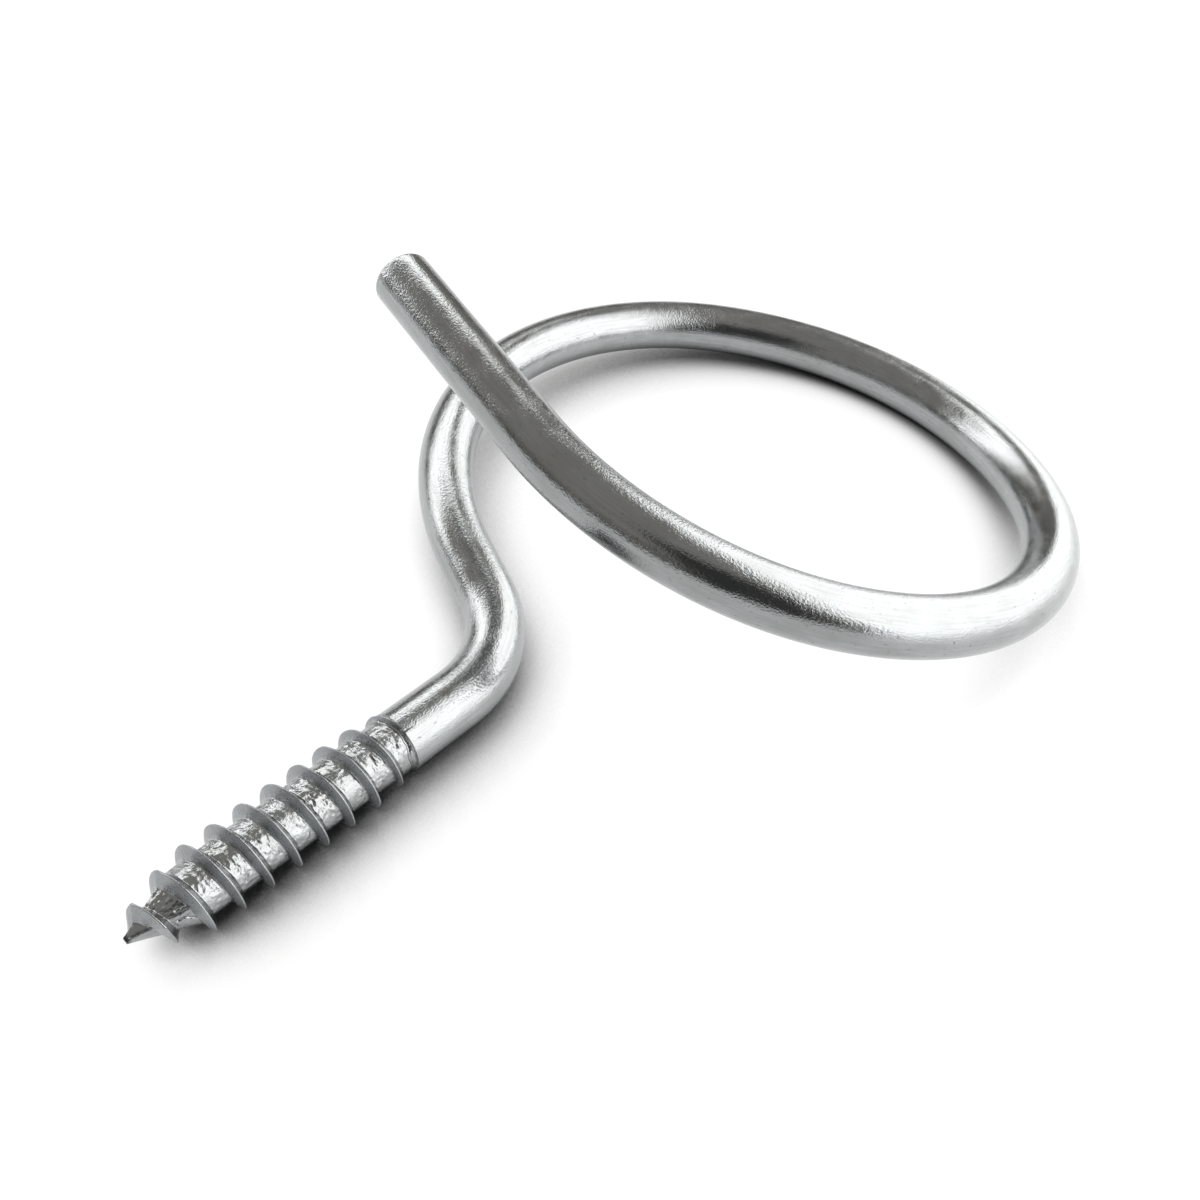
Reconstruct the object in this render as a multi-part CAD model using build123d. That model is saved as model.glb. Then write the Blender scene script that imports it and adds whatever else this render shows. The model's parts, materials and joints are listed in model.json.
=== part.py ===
from build123d import *
import os
from math import ceil, cos, pi, radians, sin, tan

# Bridle ring with a wood-screw shank, bent from one length of zinc-plated steel wire.
#
# The wire runs from the gimlet point along the straight shank, turns aside in a tight
# neck bend, and then winds almost once round as a climbing ring. The free end passes
# above the neck, so that a cable drops in sideways through the gap between the two.
# The wire is laid out with its shank along +X, and then lowered onto the surface that
# it rests on, with +Z up.

# The wire and its route, in millimetres and degrees
WIRE_DIAMETER = 5.1
RING_INSIDE_DIAMETER = 50.8
RING_TURN = 350.4            # how far the ring winds round before the free end
RING_CLIMB = 5.0             # slope of the wire from the neck to the free end
RING_ARCS = 6                # plane arcs, each tilted from the last, that make up the climb
NECK_BEND_RADIUS = 10.0      # to the wire's centreline
NECK_BEND_TURN = 68.2        # seen along the ring's axis
NECK_LENGTH = 4.6            # straight wire between the neck bend and the ring
FREE_END_LENGTH = 20.5       # straight wire after the ring
FREE_END_EDGE = 0.3          # bevel left on the edge by the shear

# The screw shank, from the tip of the point at x = 0
SHANK_LENGTH = 29.8          # up to the neck bend
SHANK_RISE = 9.1             # slope of the shank on the plane that is square to the ring's axis
THREAD_LENGTH = 23.5         # up to the plain wire
THREAD_PITCH = 2.4
THREAD_START_ANGLE = 177.5   # of the thread's helix at x = 0, about +X from +Y
CREST_DIAMETER = 6.2
FLANK_ANGLE = 28.0           # of each flank, from square to the axis, up to a sharp crest
ROOT_DIAMETER = 4.3          # of the core behind the point
ROOT_END_DIAMETER = 4.6      # of the core where the thread runs out
STEP_LENGTH = 0.15           # bevel between the core's end and the plain wire
POINT_LENGTH = 4.5           # of the core's cone
POINT_TIP_DIAMETER = 0.5
RIDGE_START = 0.85           # the ridge rises out of the point here
RIDGE_START_DIAMETER = 3.2
CREST_POINT_LENGTH = 4.7     # the ridge reaches its full height here
RUNOUT_LENGTH = 3.6          # over which the ridge sinks back into the core
RUNOUT_CREST_DIAMETER = 5.3
RIDGE_OVERLAP = 0.2          # how deep the ridge is rooted in the core
SECTIONS_PER_TURN = 18       # joined by straight ridges

# How finely the resting position is found
REST_SAMPLES = 80
TILT_WAYS = 36
TILT_STEP = 0.1
TILT_LIMIT = 1e-5
BOX_TOLERANCE = 0.01

wire_radius = WIRE_DIAMETER / 2
ring_radius = (RING_INSIDE_DIAMETER + WIRE_DIAMETER) / 2


def blend(x, points):
    """Height of a broken line through (x, height) points."""
    for (x0, y0), (x1, y1) in zip(points, points[1:]):
        if x <= x1:
            return y0 + (y1 - y0) * (x - x0) / (x1 - x0)
    return points[-1][1]


def core_outline():
    """(x, radius) corners of the shank's core, from the tip to the plain wire."""
    return [
        (0, POINT_TIP_DIAMETER / 2),
        (POINT_LENGTH, ROOT_DIAMETER / 2),
        (THREAD_LENGTH - STEP_LENGTH, ROOT_END_DIAMETER / 2),
        (THREAD_LENGTH, wire_radius),
    ]


def crest_outline():
    """(x, radius) corners of the line that the top of the thread follows."""
    return [
        (RIDGE_START, RIDGE_START_DIAMETER / 2),
        (CREST_POINT_LENGTH, CREST_DIAMETER / 2),
        (THREAD_LENGTH - RUNOUT_LENGTH, CREST_DIAMETER / 2),
        (THREAD_LENGTH, RUNOUT_CREST_DIAMETER / 2),
    ]


def shank_blank():
    """The shank without its thread: point, tapering core and plain wire, in one turning."""
    corners = [(0, 0)] + core_outline() + [(SHANK_LENGTH, wire_radius), (SHANK_LENGTH, 0)]
    profile = make_face(Polyline(*corners, close=True))
    return revolve(Plane.XY * profile, Axis.X)


def ridge_section(x):
    """The ridge's cut face in the plane that holds the axis, at x along the shank."""
    foot = blend(x, core_outline()) - RIDGE_OVERLAP
    crest = max(blend(x, crest_outline()), foot + RIDGE_OVERLAP / 2)
    half_foot = (crest - foot) * tan(radians(FLANK_ANGLE))
    angle = THREAD_START_ANGLE + 360 * x / THREAD_PITCH
    across = Vector(0, 1, 0).rotate(Axis.X, angle + 90)
    plane = Plane((x, 0, 0), x_dir=(1, 0, 0), z_dir=across)
    corners = [(-half_foot, foot), (0, crest), (half_foot, foot)]
    return plane * make_face(Polyline(*corners, close=True))


def thread_ridge():
    """The right-handed ridge, one loft to a turn, from inside the point to inside the run-out."""
    first = RIDGE_START
    last = THREAD_LENGTH - 2 * STEP_LENGTH
    count = ceil((last - first) / THREAD_PITCH * SECTIONS_PER_TURN)
    stations = [first + (last - first) * i / count for i in range(count + 1)]
    turns = []
    for i in range(0, count, SECTIONS_PER_TURN):
        turn = stations[i:i + SECTIONS_PER_TURN + 1]
        turns.append(loft([ridge_section(x) for x in turn], ruled=True))
    return turns


def ring_axis():
    """The direction of the ring's axis, tilted so that the shank rises towards the ring."""
    rise = radians(SHANK_RISE)
    return Axis((0, 0, 0), (sin(rise), 0, cos(rise)))


def ring_arcs(start, heading):
    """The climbing ring as joined plane arcs: each ends turned on, and at the same slope."""
    radius = ring_radius / cos(radians(RING_CLIMB)) ** 2
    arcs = []
    for _ in range(RING_ARCS):
        turned = heading.rotate(ring_axis(), -RING_TURN / RING_ARCS)
        plane = Plane(start, x_dir=heading, z_dir=heading.cross(turned))
        arcs.append(plane * JernArc((0, 0), (1, 0), radius, heading.get_angle(turned)))
        start = arcs[-1] @ 1
        heading = turned
    return arcs


def bent_route():
    """The centreline from the end of the straight shank to the free end, as joined edges."""
    climb = radians(RING_CLIMB)
    turn = radians(NECK_BEND_TURN)
    along = Vector(1, 0, 0)
    heading = Vector(cos(turn) * cos(climb), sin(turn) * cos(climb), sin(climb))
    heading = heading.rotate(Axis.Y, SHANK_RISE)

    bend_plane = Plane((SHANK_LENGTH, 0, 0), x_dir=along, z_dir=along.cross(heading))
    bend = bend_plane * JernArc((0, 0), (1, 0), NECK_BEND_RADIUS, along.get_angle(heading))
    neck = Line(bend @ 1, bend @ 1 + heading * NECK_LENGTH)
    ring = ring_arcs(neck @ 1, heading)
    end = ring[-1]
    free_end = Line(end @ 1, end @ 1 + (end % 1) * FREE_END_LENGTH)
    return [bend, neck] + ring + [free_end]


def wire_along(edge):
    """Round wire swept along one edge of the route."""
    start = Plane(edge @ 0, z_dir=edge % 0)
    return sweep(start * Circle(wire_radius), path=edge)


def free_end_wire(edge):
    """The last straight length, cut square, with the edge of the cut slightly bevelled."""
    length = wire_along(edge)
    cut = length.faces().sort_by(Axis(edge @ 0, edge % 0))[-1]
    return chamfer(cut.edges(), FREE_END_EDGE)


def lowest_point(points, up):
    """Distance from the origin down to the lowest of the (point, radius) balls along up."""
    return max(radius - point.dot(up) for point, radius in points)


def resting_tilt(points, centre_of_mass):
    """The up direction, near +Z, with which the ring lies at rest.

    The centre of mass is then as low as it can be, so nothing can roll or tip further.
    """
    best = Vector(0, 0, 1)
    low = lowest_point(points, best) + centre_of_mass.dot(best)
    step = TILT_STEP
    while step > TILT_LIMIT:
        moves = [Vector(step, 0, 0).rotate(Axis.Z, 360 * i / TILT_WAYS) for i in range(TILT_WAYS)]
        tries = [(best + move).normalized() for move in moves]
        heights = [lowest_point(points, up) + centre_of_mass.dot(up) for up in tries]
        if min(heights) < low:
            low = min(heights)
            best = tries[heights.index(low)]
        else:
            step /= 2
    return best


def surface_balls(route):
    """Balls that fill the part's outline: along the thread's crest, and along the bent wire."""
    balls = []
    for i in range(REST_SAMPLES + 1):
        x = SHANK_LENGTH * i / REST_SAMPLES
        radius = max(blend(x, core_outline()), blend(x, crest_outline()))
        balls.append((Vector(x, 0, 0), wire_radius if x > THREAD_LENGTH else radius))
        balls += [(edge @ (i / REST_SAMPLES), wire_radius) for edge in route]
    return balls


def laid_down(part, route):
    """The part turned onto its resting points, its shank over +X, and centred on the origin."""
    up = resting_tilt(surface_balls(route), part.center(CenterOf.MASS))
    along = Vector(1, 0, 0) - up * up.X
    seat = Plane((0, 0, 0), x_dir=along, z_dir=up)
    part = seat.to_local_coords(part)
    box = part.bounding_box(tolerance=BOX_TOLERANCE)
    return Pos(-box.center().X, -box.center().Y, -box.min.Z) * part


def bridle_ring():
    """The whole ring as one solid, lying at rest."""
    route = bent_route()
    wires = [wire_along(edge) for edge in route[:-1]] + [free_end_wire(route[-1])]
    shank = shank_blank().fuse(*thread_ridge())
    return laid_down(shank.fuse(*wires), route)


os.makedirs("parts", exist_ok=True)
export_step(bridle_ring(), "parts/bridle_ring.step")
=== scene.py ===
import json
from math import cos, pi, radians, sin, tan
import bmesh
import bpy
import numpy as np
from mathutils import Matrix, Vector, noise


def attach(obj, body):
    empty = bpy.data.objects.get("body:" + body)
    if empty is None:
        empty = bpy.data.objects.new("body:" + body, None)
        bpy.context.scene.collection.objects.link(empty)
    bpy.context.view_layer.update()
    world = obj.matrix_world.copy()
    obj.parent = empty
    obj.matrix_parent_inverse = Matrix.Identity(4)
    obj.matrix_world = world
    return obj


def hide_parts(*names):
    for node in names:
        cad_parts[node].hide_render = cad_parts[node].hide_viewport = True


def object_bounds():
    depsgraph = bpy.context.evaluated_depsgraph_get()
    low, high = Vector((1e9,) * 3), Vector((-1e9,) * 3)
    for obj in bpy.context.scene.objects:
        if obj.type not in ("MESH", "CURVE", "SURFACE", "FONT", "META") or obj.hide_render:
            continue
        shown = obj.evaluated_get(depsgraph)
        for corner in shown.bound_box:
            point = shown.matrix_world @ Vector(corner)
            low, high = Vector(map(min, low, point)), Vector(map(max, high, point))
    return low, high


# Bridle ring: one length of zinc-plated steel wire with a rolled wood-screw thread.
# Lengths of the part are in millimetres and angles in degrees, as in the CAD source,
# and MM brings the lengths into the frame. x runs along the unbent wire from the tip.

MM = 0.001

# The wire and its route
WIRE_DIAMETER = 5.1
RING_INSIDE_DIAMETER = 50.8
RING_TURN = 350.4            # how far the ring winds round before the free end
RING_CLIMB = 5.0             # slope of the wire from the neck to the free end
RING_ARCS = 6                # plane arcs that make up the climb
NECK_BEND_RADIUS = 10.0
NECK_BEND_TURN = 68.2        # seen along the ring's axis
NECK_LENGTH = 4.6
FREE_END_LENGTH = 20.5
FREE_END_EDGE = 0.3          # rounding of the edge of the free end

# The screw shank
SHANK_LENGTH = 29.8
SHANK_RISE = 9.1             # slope of the shank on the plane that is square to the ring's axis
THREAD_LENGTH = 23.5
THREAD_PITCH = 2.4
THREAD_START_ANGLE = 177.5   # of the thread's helix at x = 0, about +X from +Y
CREST_DIAMETER = 6.2
CREST_WIDTH = 0.10
FLANK_ANGLE = 24.0           # of the front flank, which faces the tip, from square to the axis
BACK_FLANK = 0.5             # length along the shank of the flank that faces the ring
BACK_HOLLOW = 1.3            # how hollow that flank is, where 1 is straight
ROOT_DIAMETER = 4.3
ROOT_END_DIAMETER = 4.6
STEP_LENGTH = 0.15
POINT_LENGTH = 4.5
POINT_TIP_DIAMETER = 0.5
RIDGE_START = 0.85
RIDGE_START_DIAMETER = 3.2
CREST_POINT_LENGTH = 4.7
RUNOUT_LENGTH = 3.6
RUNOUT_CREST_DIAMETER = 5.3

LARGEST_ROLL = 5.5           # of the shank, past which the ring would roll off its far side
ROLL_HALVINGS = 40

# How finely the wire is meshed
AROUND = 144
ALONG = 1.0                  # spacing of the rings of vertices along the plain wire
CREST_ROW = 0.02             # distance of the first row of vertices below each edge of the crest
FLANK_ROWS = 6
ROOT_ROWS = 13
EDGE_RINGS = 6
CLOSING_RINGS = (0.85, 0.7, 0.5, 0.3, 0.15, 0.0)   # shares of the flat end's radius
MERGED = 1e-4
DISSOLVED = 1e-5

# The rolled surface of the thread: sizes, and counts of grains per millimetre
UNEVEN_RIDGE = (0.05, 1.1)   # share of the ridge's height, and count
CREST_WANDER = (0.05, 0.6)   # of the crest to and fro, and count
LUMPS = ((0.050, 1.4), (0.060, 3.0), (0.028, 6.0))   # height and count of the roots' lumps
PITS = (0.05, 2.2)           # depth and count
PATCH_COUNT = 0.45           # of the rougher and smoother patches
ROUGH_SIDE = 95.0            # the side of the shank with the roughest roots, about +X from +Y
ROLL_MARKS = (0.007, 0.24)   # depth and spacing of the fine ridges along the smoother roots
STEP_UNDERCUT = 0.10         # depth of the ragged line where the thread ends
STEP_PLACE = 0.35            # of that line, before the end of the thread
STEP_WANDER = (0.25, 0.7)    # of that line to and fro, and count
STEP_WIDTH = 0.1
SMALLEST_RADIUS = 0.05

# The gimlet point: four facets, and the cuts that forming it has left
FACET_CORNER = 50.0          # the angle of one corner about +X from +Y
FACET_SHARE = 0.55           # of a square point in the round one
FACET_FULLNESS = 1.12        # of that square over the one inside the round point
CUT_DEPTH = 0.13
CUT_WIDTH = 0.07
# (x, angle) of each cut's two ends
CUTS = (
    ((0.35, 122), (1.7, 138)),
    ((3.2, 160), (3.6, 155)),
    ((3.6, 155), (4.5, 172)),
    ((3.3, 130), (4.1, 137)),
)

# The zinc's greys
COOL_GREY = (0.315, 0.325, 0.325, 1)
PALE_GREY = (0.36, 0.372, 0.38, 1)
STREAK_GREY = (0.26, 0.258, 0.25, 1)
SPECK_GREY = (0.10, 0.097, 0.092, 1)
FLANK_GREY = (0.345, 0.36, 0.37, 1)
BLUNT_GREY = (0.04, 0.038, 0.036, 1)

# The view
CAMERA_AZIMUTH = -142.66
CAMERA_ELEVATION = 45.18
CAMERA_ROLL = 6.72
CAMERA_DISTANCE = 101.97     # from the lens to the aim
CAMERA_AIM = (-5.52, -2.52, -5.85)   # from the middle of the object's box
CAMERA_LENS = 37.17
CAMERA_SENSOR = 36

# The contact shadow painted into the floor's glow: how far it reaches, and the open sky
# share where it is black and where it has faded out
SHADOW_REACH = 8.8
SHADOW_DARK = 0.30
SHADOW_CLEAR = 0.87
PAINTED_SHADOW_SLANT = (135, 70)        # azimuth and elevation that the painted shadow falls away from; no lamp stands there

# The studio, in metres
FLOOR_SIZE = 3.0
ROOM_RADIUS = 1.4
WALL_DARK = (0.10, 0.097, 0.092, 1)
WALL_GREY = (0.40, 0.385, 0.365, 1)
WALL_FADE = (0.50, 0.72)     # shares of the room's height between which the wall turns grey

wire_radius = WIRE_DIAMETER / 2
ring_radius = (RING_INSIDE_DIAMETER + WIRE_DIAMETER) / 2


# ---- the route of the wire ----

class Wire:
    """The centreline with a frame carried along it: centres, two cross axes and lengths."""

    def __init__(self, start):
        self.heading = Vector((1, 0, 0))
        self.across = Vector((0, 1, 0))
        self.centres = [start]
        self.axes = [(self.across, self.heading.cross(self.across))]
        self.lengths = [start.x]

    def add(self, point, across, heading):
        step = (point - self.centres[-1]).length
        self.centres.append(point)
        self.axes.append((across, heading.cross(across)))
        self.lengths.append(self.lengths[-1] + step)

    def straight(self, length):
        start = self.centres[-1]
        count = max(int(length / ALONG), 1)
        for i in range(1, count + 1):
            self.add(start + self.heading * length * i / count, self.across, self.heading)

    def arc(self, turned, radius):
        """A plane arc from the heading to the direction turned."""
        start, heading, across = self.centres[-1], self.heading, self.across
        axis = heading.cross(turned).normalized()
        side = axis.cross(heading)
        angle = heading.angle(turned)
        count = max(int(angle * radius / ALONG), 1)
        for i in range(1, count + 1):
            a = angle * i / count
            point = start + radius * (sin(a) * heading + (1 - cos(a)) * side)
            turning = Matrix.Rotation(a, 3, axis)
            self.add(point, turning @ across, turning @ heading)
        self.heading = turned
        self.across = (turning @ across).normalized()


def bent_wire():
    """The plain wire from the end of the thread to the free end, with the shank along +X."""
    climb = radians(RING_CLIMB)
    turn = radians(NECK_BEND_TURN)
    tilt = Matrix.Rotation(radians(SHANK_RISE), 3, "Y")
    heading = tilt @ Vector((cos(turn) * cos(climb), sin(turn) * cos(climb), sin(climb)))
    wire = Wire(Vector((THREAD_LENGTH, 0, 0)))
    wire.straight(SHANK_LENGTH - THREAD_LENGTH)
    wire.arc(heading, NECK_BEND_RADIUS)
    wire.straight(NECK_LENGTH)
    ring_axis = tilt @ Vector((0, 0, 1))
    for _ in range(RING_ARCS):
        heading = Matrix.Rotation(-radians(RING_TURN / RING_ARCS), 3, ring_axis) @ heading
        wire.arc(heading, ring_radius / cos(climb) ** 2)
    wire.straight(FREE_END_LENGTH - FREE_END_EDGE)
    return wire


def seat(wire):
    """The place of the shank in the frame: its tip and direction, and its roll onto the floor."""
    mount = frame["record"]["mounts"][0]
    tip = Vector(mount["pos_m"]) / MM
    along = -Vector(mount["axis"]).normalized()
    across = Vector((0, 0, 1)).cross(along).normalized()
    upright = Matrix((along, across, along.cross(across))).transposed()
    low, high = 0.0, radians(LARGEST_ROLL)
    for _ in range(ROLL_HALVINGS):
        roll = (low + high) / 2
        turned = upright @ Matrix.Rotation(roll, 3, "X")
        lowest = min((turned @ c).z for c in wire.centres) + tip.z
        if lowest < wire_radius:
            low = roll
        else:
            high = roll
    return Matrix.Translation(tip) @ turned.to_4x4()


# ---- the surface of the threaded shank ----

def blend(x, points):
    """Height of a broken line through (x, height) points."""
    xs, ys = zip(*points)
    return np.interp(x, xs, ys)


def core_radius(x):
    return blend(x, [
        (0, POINT_TIP_DIAMETER / 2),
        (POINT_LENGTH, ROOT_DIAMETER / 2),
        (THREAD_LENGTH - STEP_LENGTH, ROOT_END_DIAMETER / 2),
        (THREAD_LENGTH, wire_radius),
    ])


def crest_radius(x):
    return blend(x, [
        (RIDGE_START, RIDGE_START_DIAMETER / 2),
        (CREST_POINT_LENGTH, CREST_DIAMETER / 2),
        (THREAD_LENGTH - RUNOUT_LENGTH, CREST_DIAMETER / 2),
        (THREAD_LENGTH, RUNOUT_CREST_DIAMETER / 2),
    ])


def grain(points, count, shift=0.0):
    """Smooth noise, about -1 to 1, with so many grains per millimetre."""
    flat = (points.reshape(-1, 3) * count + shift).tolist()
    return np.array([noise.noise(p) for p in flat]).reshape(points.shape[:-1])


def smooth(value):
    """An S-shaped step that rises from 0 to 1 as the value does."""
    value = np.clip(value, 0, 1)
    return value * value * (3 - 2 * value)


def around(x, radius, angle):
    """Points at the angle about +X from +Y."""
    return np.stack(np.broadcast_arrays(x, radius * np.cos(angle), radius * np.sin(angle)), axis=-1)


def faceted(x, angle):
    """Share of the core's radius that the four-sided gimlet point keeps."""
    turned = np.mod(angle - radians(FACET_CORNER), pi / 2) - pi / 4
    share = FACET_SHARE * smooth((CREST_POINT_LENGTH - x) / 2)
    return 1 - share * (1 - cos(pi / 4) / np.cos(turned) * FACET_FULLNESS)


def cuts(x, angle, radius):
    """Depth of the cuts left in the point."""
    depth = np.zeros_like(x)
    for (x0, a0), (x1, a1) in CUTS:
        share = np.clip((x - x0) / (x1 - x0), 0, 1)
        side = radius * (angle - np.radians(a0 + (a1 - a0) * share))
        beyond = x - (x0 + (x1 - x0) * share)
        away = np.hypot(side, beyond) / CUT_WIDTH
        depth = np.maximum(depth, CUT_DEPTH * smooth(1.5 - away))
    return depth


def crest_height(crest_x, core):
    """How far the crest at crest_x stands above the core."""
    inside = (crest_x >= RIDGE_START) & (crest_x <= THREAD_LENGTH)
    return np.where(inside, np.maximum(crest_radius(crest_x) - core, 0), 0)


def ridge(x, behind, core, place):
    """Height of the ridge above the core, and where its front flank is.

    The last crest is at a distance behind, back towards the tip.
    """
    ahead = THREAD_PITCH - behind
    share, count = UNEVEN_RIDGE
    uneven = 1 + share * grain(place, count, 7.0)
    past_crest = np.maximum(behind - CREST_WIDTH / 2, 0)
    before_crest = np.maximum(ahead - CREST_WIDTH / 2, 0)
    back = crest_height(x - behind, core) * uneven
    back = back * np.clip(1 - past_crest / BACK_FLANK, 0, 1) ** BACK_HOLLOW
    front = crest_height(x + ahead, core) * uneven - before_crest / tan(radians(FLANK_ANGLE))
    on_front = (front >= np.maximum(back, 0)) & (before_crest > 0)
    return np.maximum(np.maximum(front, back), 0), on_front


def root_relief(x, angle, behind, place):
    """What the lumps, pits, rolling marks and the undercut step add to the roots' radius."""
    lumps = sum(size * grain(place, count, 3.0) for size, count in LUMPS)
    pit_depth, pit_count = PITS
    pits = pit_depth * smooth(4 * grain(place, pit_count, 11.0) - 0.6)
    patches = np.clip(0.75 + 0.9 * grain(place, PATCH_COUNT, 5.0), 0.3, 1)
    rough_side = smooth(0.5 + np.cos(angle - radians(ROUGH_SIDE)))
    rough = patches * (0.25 + 0.75 * rough_side)
    mark_depth, mark_spacing = ROLL_MARKS
    marks = mark_depth * np.sin(2 * pi * behind / mark_spacing) * (1 - rough_side)
    step_wander, step_count = STEP_WANDER
    step = THREAD_LENGTH - STEP_PLACE + step_wander * grain(place * (0, 1, 1), step_count)
    undercut = STEP_UNDERCUT * smooth(1.5 - abs(x - step) / STEP_WIDTH)
    return rough * (lumps - pits) + marks - undercut


def threaded_surface(x, angle):
    """Radius of the shank where the thread is, and how much of each place is the front flank."""
    place = around(x, ROOT_DIAMETER / 2, angle)
    phase = x - THREAD_PITCH * (angle - radians(THREAD_START_ANGLE)) / (2 * pi)
    behind = np.mod(phase, THREAD_PITCH)
    core = core_radius(x)
    height, on_front = ridge(x, behind, core, place)
    rise = np.clip(height / ((CREST_DIAMETER - ROOT_DIAMETER) / 2), 0, 1)
    root = (1 - rise) ** 2 * smooth((x - 0.3) / 2)
    relief = root * root_relief(x, angle, behind, place)
    radius = core * faceted(x, angle) - cuts(x, angle, core) + height + relief
    flank = np.where(on_front, smooth(4 * rise - 0.4), 0)
    return np.maximum(radius, SMALLEST_RADIUS), flank


# ---- the mesh ----

def thread_rows():
    """Places across one pitch of the thread where its profile is sampled, from crest to crest."""
    top = CREST_WIDTH / 2
    height = (CREST_DIAMETER - ROOT_DIAMETER) / 2
    foot = top + height * tan(radians(FLANK_ANGLE))
    flank = np.concatenate([[top], np.linspace(top + CREST_ROW, foot, FLANK_ROWS)])
    root = np.linspace(foot, THREAD_PITCH / 2, ROOT_ROWS)[1:]
    half = np.concatenate([flank, root])
    return np.concatenate([half, (THREAD_PITCH - half[::-1])[1:]])


def shank_grid():
    """Grid of x and angle whose rows follow the thread's helix, cut square at both ends."""
    angles = np.linspace(0, 2 * pi, AROUND + 1)
    turns = int(THREAD_LENGTH / THREAD_PITCH) + 3
    rows = np.concatenate([thread_rows() + (k - 2) * THREAD_PITCH for k in range(turns)])
    start = THREAD_PITCH * (-radians(THREAD_START_ANGLE)) / (2 * pi)
    x = rows[:, None] + start % THREAD_PITCH + THREAD_PITCH * angles[None, :] / (2 * pi)
    return np.clip(x, 0, THREAD_LENGTH), np.broadcast_to(angles, x.shape)


def add_grid(mesh, points, unbent, flank):
    """Vertices and quads of one grid of points, with what the material reads on each vertex."""
    unbent_layer = mesh.verts.layers.float_vector["unbent"]
    flank_layer = mesh.verts.layers.float["flank"]
    rows, columns = points.shape[:2]
    verts = []
    for r in range(rows):
        for c in range(columns):
            vert = mesh.verts.new(points[r, c])
            vert[unbent_layer] = unbent[r, c]
            vert[flank_layer] = flank[r, c]
            verts.append(vert)
    for r in range(rows - 1):
        for c in range(columns - 1):
            a = r * columns + c
            mesh.faces.new((verts[a], verts[a + 1], verts[a + columns + 1], verts[a + columns]))


def add_shank(mesh):
    """The threaded shank, and the small flat that closes its tip."""
    x, angle = shank_grid()
    radius, flank = threaded_surface(x, angle)
    shank = around(x, radius, angle)
    wander, count = CREST_WANDER
    to_and_fro = wander * grain(around(x, ROOT_DIAMETER / 2, angle), count)
    shank[..., 0] += to_and_fro * smooth(x / 2) * smooth((THREAD_LENGTH - x) / 2)
    add_grid(mesh, shank, shank, flank)
    tip_angles = angle[0]
    tip_radius, _ = threaded_surface(np.zeros_like(tip_angles), tip_angles)
    tip = around(0.0, np.array([[0.0], [0.5], [1.0]]) * tip_radius, tip_angles)
    add_grid(mesh, tip, tip, np.zeros(tip.shape[:2]))


def end_rings():
    """(distance, radius) of the rings that round the edge of the free end and close it."""
    rings = []
    for i in range(1, EDGE_RINGS + 1):
        a = pi / 2 * i / EDGE_RINGS
        rings.append((FREE_END_EDGE * sin(a), wire_radius - FREE_END_EDGE * (1 - cos(a))))
    flat = wire_radius - FREE_END_EDGE
    return rings + [(FREE_END_EDGE, flat * share) for share in CLOSING_RINGS]


def add_plain_wire(mesh, wire):
    """The wire from the end of the thread round the ring, and over the free end."""
    past, end_radii = np.array(end_rings()).T
    centres = np.array(wire.centres)
    centres = np.vstack([centres, centres[-1] + np.outer(past, np.array(wire.heading))])
    lengths = np.concatenate([wire.lengths, wire.lengths[-1] + past])
    radii = np.concatenate([np.full(len(wire.lengths), wire_radius), end_radii])[:, None]
    axes = np.array(wire.axes + wire.axes[-1:] * len(past))[:, :, None, :]
    angles = np.linspace(0, 2 * pi, AROUND + 1)
    one = radii * np.cos(angles)
    other = radii * np.sin(angles)
    surface = centres[:, None, :] + one[..., None] * axes[:, 0] + other[..., None] * axes[:, 1]
    flat = np.stack(np.broadcast_arrays(lengths[:, None], one, other), axis=-1)
    add_grid(mesh, surface, flat, np.zeros(one.shape))


def wire_mesh(wire, place):
    """The whole surface as one closed mesh."""
    mesh = bmesh.new()
    mesh.verts.layers.float_vector.new("unbent")
    mesh.verts.layers.float.new("flank")
    add_shank(mesh)
    add_plain_wire(mesh, wire)
    bmesh.ops.remove_doubles(mesh, verts=mesh.verts, dist=MERGED)
    bmesh.ops.dissolve_degenerate(mesh, edges=mesh.edges, dist=DISSOLVED)
    bmesh.ops.recalc_face_normals(mesh, faces=mesh.faces)
    mesh.transform(Matrix.Scale(MM, 4) @ place)
    return mesh


def make_wire(material):
    wire = bent_wire()
    mesh = wire_mesh(wire, seat(wire))
    data = bpy.data.meshes.new("bridle_ring_surface")
    mesh.to_mesh(data)
    mesh.free()
    data.shade_smooth()
    data.materials.append(material)
    piece = bpy.data.objects.new("bridle_ring_surface", data)
    bpy.context.scene.collection.objects.link(piece)
    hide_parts("bridle_ring")
    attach(piece, "root")


# ---- the zinc ----

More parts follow.
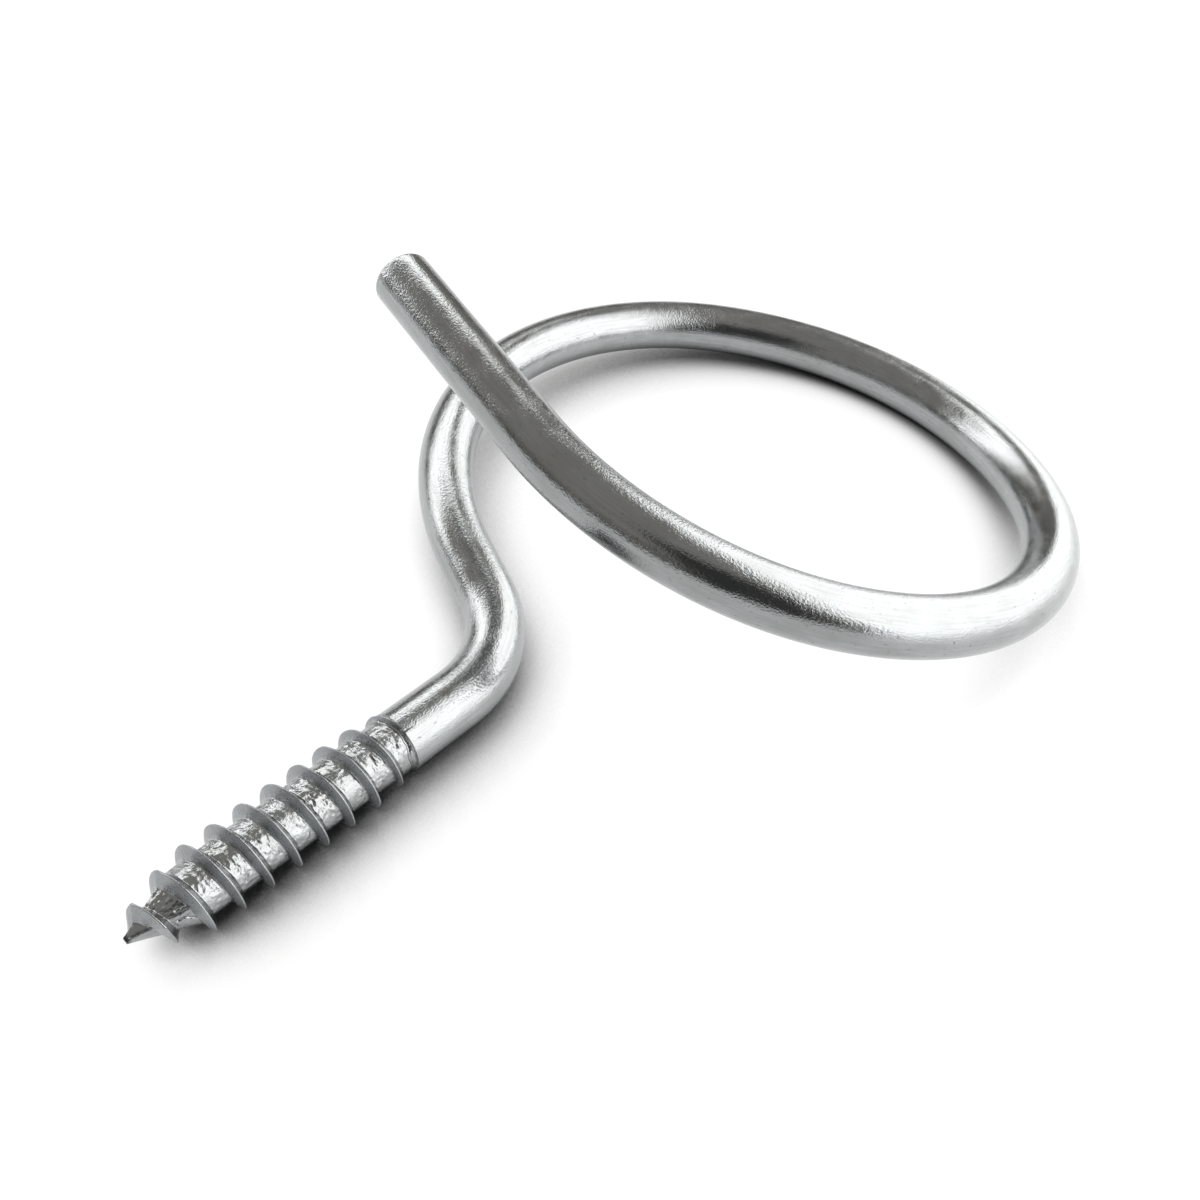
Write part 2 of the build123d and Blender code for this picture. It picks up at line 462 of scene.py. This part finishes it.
class Graph:
    """Short ways to add and join the nodes of the wire's material."""

    def __init__(self, tree):
        self.nodes, self.links = tree.nodes, tree.links
        self.place = self.attribute("unbent").outputs["Vector"]

    def attribute(self, name):
        """A layer that the mesh keeps on its vertices."""
        node = self.nodes.new("ShaderNodeAttribute")
        node.attribute_name = name
        return node

    def scaled(self, scale):
        """The unbent place, in millimetres, times a scale for each axis."""
        node = self.nodes.new("ShaderNodeVectorMath")
        node.operation = "MULTIPLY"
        node.inputs[1].default_value = scale
        self.links.new(self.place, node.inputs[0])
        return node.outputs[0]

    def along(self):
        """Length along the unbent wire, in millimetres."""
        node = self.nodes.new("ShaderNodeSeparateXYZ")
        self.links.new(self.place, node.inputs[0])
        return node.outputs[0]

    def noise(self, counts, detail, roughness=0.5):
        """Noise with so many grains per millimetre along each axis."""
        node = self.nodes.new("ShaderNodeTexNoise")
        node.inputs["Scale"].default_value = 1.0
        node.inputs["Detail"].default_value = detail
        node.inputs["Roughness"].default_value = roughness
        self.links.new(self.scaled(counts), node.inputs["Vector"])
        return node.outputs["Fac"]

    def ramp(self, value, low, high, start, end):
        """From start where the value is low to end where it is high."""
        node = self.nodes.new("ShaderNodeMapRange")
        self.links.new(value, node.inputs["Value"])
        for name, number in zip(("From Min", "From Max", "To Min", "To Max"), (low, high, start, end)):
            node.inputs[name].default_value = number
        return node.outputs[0]

    def math(self, operation, one, other):
        node = self.nodes.new("ShaderNodeMath")
        node.operation = operation
        for value, socket in zip((one, other), node.inputs):
            if isinstance(value, float):
                socket.default_value = value
            else:
                self.links.new(value, socket)
        return node.outputs[0]

    def mix(self, share, one, other):
        """One colour where the share is 0, and the other where it is 1."""
        node = self.nodes.new("ShaderNodeMix")
        node.data_type = "RGBA"
        for name, value in (("Factor", share), ("A", one), ("B", other)):
            socket = next(s for s in node.inputs if s.name == name and s.enabled)
            if isinstance(value, tuple):
                socket.default_value = value
            else:
                self.links.new(value, socket)
        return next(s for s in node.outputs if s.enabled)

    def bump(self, height, depth, normal=None):
        """A relief with a depth in millimetres, on top of the normal."""
        node = self.nodes.new("ShaderNodeBump")
        node.inputs["Strength"].default_value = 1.0
        node.inputs["Distance"].default_value = depth * MM
        self.links.new(height, node.inputs["Height"])
        if normal:
            self.links.new(normal, node.inputs["Normal"])
        return node.outputs[0]


def zinc_steel():
    """Bright zinc plating over drawn wire: streaks along the wire, fine grain and dark specks.

    The thread's front flanks are smoother and duller than the rest.
    """
    material = bpy.data.materials.new("zinc_steel_plated")
    material.use_nodes = True
    g = Graph(material.node_tree)
    shader = g.nodes["Principled BSDF"]

    streaks = g.noise((0.25, 5.0, 5.0), detail=3.0, roughness=0.6)
    clouds = g.noise((0.35, 0.6, 0.6), detail=3.0)
    grains = g.noise((4.6, 7.0, 7.0), detail=2.0, roughness=0.6)
    specks = g.noise((2.2, 3.4, 3.4), detail=4.0, roughness=0.7)
    pits = g.noise((6.0, 6.0, 6.0), detail=3.0, roughness=0.7)
    flank = g.attribute("flank").outputs["Fac"]
    threaded = g.ramp(g.along(), THREAD_LENGTH - 0.5, THREAD_LENGTH, 1.0, 0.0)
    roots = g.math("SUBTRACT", threaded, flank)

    cloudy = g.mix(g.ramp(clouds, 0.35, 0.65, 0.0, 1.0), COOL_GREY, PALE_GREY)
    streaked = g.mix(g.ramp(streaks, 0.4, 0.7, 0.0, 0.4), cloudy, STREAK_GREY)
    speckled = g.mix(g.ramp(specks, 0.62, 0.70, 0.0, 0.6), streaked, SPECK_GREY)
    flanked = g.mix(flank, speckled, FLANK_GREY)
    colour = g.mix(g.ramp(g.along(), 0.05, 0.35, 1.0, 0.0), flanked, BLUNT_GREY)
    g.links.new(colour, shader.inputs["Base Color"])

    drawn_dull = g.ramp(streaks, 0.3, 0.7, 0.08, 0.16)
    dull = g.math("ADD", drawn_dull, g.ramp(grains, 0.4, 0.8, 0.0, 0.10))
    roughness = g.math("ADD", dull, g.math("MULTIPLY", flank, 0.16))
    g.links.new(roughness, shader.inputs["Roughness"])

    chalky = g.math("ADD", g.math("MULTIPLY", flank, 0.3), g.math("MULTIPLY", roots, 0.05))
    g.links.new(g.math("SUBTRACT", 1.0, chalky), shader.inputs["Metallic"])

    patchy_grains = g.math("MULTIPLY", grains, g.ramp(clouds, 0.35, 0.6, 0.5, 1.0))
    grained = g.bump(patchy_grains, 0.035, g.bump(streaks, 0.006))
    pitted = g.bump(g.math("MULTIPLY", pits, roots), 0.014, grained)
    g.links.new(pitted, shader.inputs["Normal"])
    return material


# ---- the studio ----

def direction(azimuth, elevation):
    a, e = radians(azimuth), radians(elevation)
    return Vector((cos(e) * cos(a), cos(e) * sin(a), sin(e)))


def aimed(place, towards, turn=0.0):
    """A matrix at the place whose +Z points along towards, turned about it."""
    return (Matrix.Translation(place)
            @ towards.to_track_quat("Z", "Y").to_matrix().to_4x4()
            @ Matrix.Rotation(radians(turn), 4, "Z"))


def seen_directly(tree):
    """1 for the rays that see the background itself: from the camera, a reflection or a glass."""
    path = tree.nodes.new("ShaderNodeLightPath")
    total = path.outputs["Is Camera Ray"]
    for name in ("Is Glossy Ray", "Is Transmission Ray"):
        either = tree.nodes.new("ShaderNodeMath")
        either.operation = "MAXIMUM"
        tree.links.new(total, either.inputs[0])
        tree.links.new(path.outputs[name], either.inputs[1])
        total = either.outputs[0]
    return total


def world_light():
    """White where it is seen, and dim where it lights the object."""
    world = bpy.data.worlds.new("studio")
    bpy.context.scene.world = world
    world.use_nodes = True
    nodes, links = world.node_tree.nodes, world.node_tree.links
    ambient = nodes["Background"]
    white = nodes.new("ShaderNodeBackground")
    for background, strength in ((ambient, 0.2), (white, 1.0)):
        background.inputs["Color"].default_value = (1, 1, 1, 1)
        background.inputs["Strength"].default_value = strength
    mix = nodes.new("ShaderNodeMixShader")
    links.new(seen_directly(world.node_tree), mix.inputs[0])
    links.new(ambient.outputs[0], mix.inputs[1])
    links.new(white.outputs[0], mix.inputs[2])
    links.new(mix.outputs[0], nodes["World Output"].inputs["Surface"])


def painted_contact_shadow(tree):
    """A painted shadow: 0 where the floor is closed in on the side it leans from, up to 1 in the open.
    """
    nodes, links = tree.nodes, tree.links
    # Painted shade: ambient occlusion near the object, leaned one way, stands in for a cast shadow
    occlusion = nodes.new("ShaderNodeAmbientOcclusion")
    occlusion.samples = 8
    occlusion.inputs["Distance"].default_value = SHADOW_REACH * MM
    towards_slant = nodes.new("ShaderNodeCombineXYZ")
    for part, socket in zip(direction(*PAINTED_SHADOW_SLANT), towards_slant.inputs):
        socket.default_value = part
    links.new(towards_slant.outputs[0], occlusion.inputs["Normal"])
    ramp = nodes.new("ShaderNodeMapRange")
    ramp.interpolation_type = "SMOOTHSTEP"
    ramp.inputs["From Min"].default_value = SHADOW_DARK
    ramp.inputs["From Max"].default_value = SHADOW_CLEAR
    links.new(occlusion.outputs["AO"], ramp.inputs["Value"])
    return ramp.outputs[0]


def floor_material():
    """Pale, slightly glossy paper: white where it is seen, but for the object's contact shadow,
    painted into its glow.
    """
    material = bpy.data.materials.new("pale_floor")
    material.use_nodes = True
    tree = material.node_tree
    nodes, links = tree.nodes, tree.links
    paper = nodes["Principled BSDF"]
    paper.inputs["Base Color"].default_value = (0, 0, 0, 1)
    paper.inputs["Roughness"].default_value = 0.4
    paper.inputs["Emission Color"].default_value = (1, 1, 1, 1)
    # The glow that camera and reflections see is darkened by the painted contact shadow
    links.new(painted_contact_shadow(tree), paper.inputs["Emission Strength"])
    plain = nodes.new("ShaderNodeBsdfDiffuse")
    plain.inputs["Color"].default_value = (0.9, 0.9, 0.9, 1)
    mix = nodes.new("ShaderNodeMixShader")
    links.new(seen_directly(tree), mix.inputs[0])
    links.new(plain.outputs[0], mix.inputs[1])
    links.new(paper.outputs[0], mix.inputs[2])
    links.new(mix.outputs[0], nodes["Material Output"].inputs["Surface"])
    return material


def floor():
    bpy.ops.mesh.primitive_plane_add(size=FLOOR_SIZE)
    plane = bpy.context.object
    plane.name = "floor"
    plane.data.materials.append(floor_material())


def placed(data, matrix):
    """Adds a lamp or a surface of the studio, which the camera doesn't see."""
    obj = bpy.data.objects.new(data.name, data)
    obj.matrix_world = matrix
    obj.visible_camera = False
    bpy.context.scene.collection.objects.link(obj)
    return obj


def hung(azimuth, elevation, distance, tilt=0.0):
    """A place in the given direction from the object, facing it."""
    towards = direction(azimuth, elevation)
    return aimed(towards * distance, towards, tilt)


def standing(azimuth, distance, bottom, height):
    """An upright place beside the object, facing it, from bottom upwards."""
    towards = direction(azimuth, 0)
    return aimed(towards * distance + Vector((0, 0, bottom + height / 2)), towards)


def soft_box(name, width, height, radiance):
    lamp = bpy.data.lights.new(name, "AREA")
    lamp.shape = "RECTANGLE"
    lamp.size, lamp.size_y = width, height
    lamp.energy = radiance * pi * width * height
    return lamp


def glow(name, strength):
    material = bpy.data.materials.new(name)
    material.use_nodes = True
    nodes, links = material.node_tree.nodes, material.node_tree.links
    nodes.remove(nodes["Principled BSDF"])
    emission = nodes.new("ShaderNodeEmission")
    emission.inputs["Strength"].default_value = strength
    links.new(emission.outputs[0], nodes["Material Output"].inputs["Surface"])
    return material


def dim_walls():
    """A dim studio: nearly black low down, and a warm grey higher up."""
    material = glow("dim_walls", 1.0)
    nodes, links = material.node_tree.nodes, material.node_tree.links
    place = nodes.new("ShaderNodeTexCoord")
    height = nodes.new("ShaderNodeSeparateXYZ")
    links.new(place.outputs["Generated"], height.inputs[0])
    shade = nodes.new("ShaderNodeValToRGB")
    for stop, at, colour in zip(shade.color_ramp.elements, WALL_FADE, (WALL_DARK, WALL_GREY)):
        stop.position = at
        stop.color = colour
    links.new(height.outputs[2], shade.inputs[0])
    links.new(shade.outputs[0], nodes["Emission"].inputs["Color"])
    return material


def card(name, width, height, strength):
    data = bpy.data.meshes.new(name)
    w, h = width / 2, height / 2
    data.from_pydata([(-w, -h, 0), (w, -h, 0), (w, h, 0), (-w, h, 0)], [], [(0, 1, 2, 3)])
    data.materials.append(glow(name, strength))
    return data


def room():
    mesh = bmesh.new()
    bmesh.ops.create_icosphere(mesh, subdivisions=4, radius=ROOM_RADIUS)
    data = bpy.data.meshes.new("studio_room")
    mesh.to_mesh(data)
    mesh.free()
    data.shade_smooth()
    data.materials.append(dim_walls())
    return data


def lights():
    placed(soft_box("right_wall_light", 1.78, 1.52, 2.6), standing(-39, 0.6, -0.02, 1.52))
    placed(soft_box("left_soft_box", 1.1, 0.28, 2.9), hung(83, 32, 0.7, tilt=-26))
    top = placed(soft_box("top_soft_box", 0.7, 0.7, 1.0), hung(90, 75, 0.8))
    top.visible_glossy = False


def surroundings():
    """The room and a dark card beside the camera, which only the metal's reflections see."""
    walls = placed(room(), Matrix.Identity(4))
    dark = placed(card("camera_side", 0.76, 0.84, 0.07), hung(-132, 32, 0.9))
    for obj in (walls, dark):
        obj.visible_diffuse = False
        obj.visible_shadow = False
        obj.visible_transmission = False


def camera():
    data = bpy.data.cameras.new("camera")
    data.lens = CAMERA_LENS
    data.sensor_width = CAMERA_SENSOR
    data.clip_start = 0.001
    obj = bpy.data.objects.new("camera", data)
    bpy.context.scene.collection.objects.link(obj)
    low, high = cad_box
    middle = (Vector(low) + Vector(high)) / 2
    back = direction(CAMERA_AZIMUTH, CAMERA_ELEVATION)
    place = middle + (Vector(CAMERA_AIM) + back * CAMERA_DISTANCE) * MM
    obj.matrix_world = aimed(place, back, CAMERA_ROLL)
    bpy.context.scene.camera = obj


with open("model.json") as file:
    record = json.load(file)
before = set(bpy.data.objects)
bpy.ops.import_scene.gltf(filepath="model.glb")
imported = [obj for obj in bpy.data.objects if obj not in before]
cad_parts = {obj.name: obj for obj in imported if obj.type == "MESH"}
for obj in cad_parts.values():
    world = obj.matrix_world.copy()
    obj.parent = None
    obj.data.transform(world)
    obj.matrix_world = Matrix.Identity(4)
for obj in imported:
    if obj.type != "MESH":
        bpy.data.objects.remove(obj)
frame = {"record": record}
cad_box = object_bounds()
make_wire(zinc_steel())
world_light()
floor()
lights()
surroundings()
camera()
bpy.context.scene.view_settings.view_transform = "Standard"
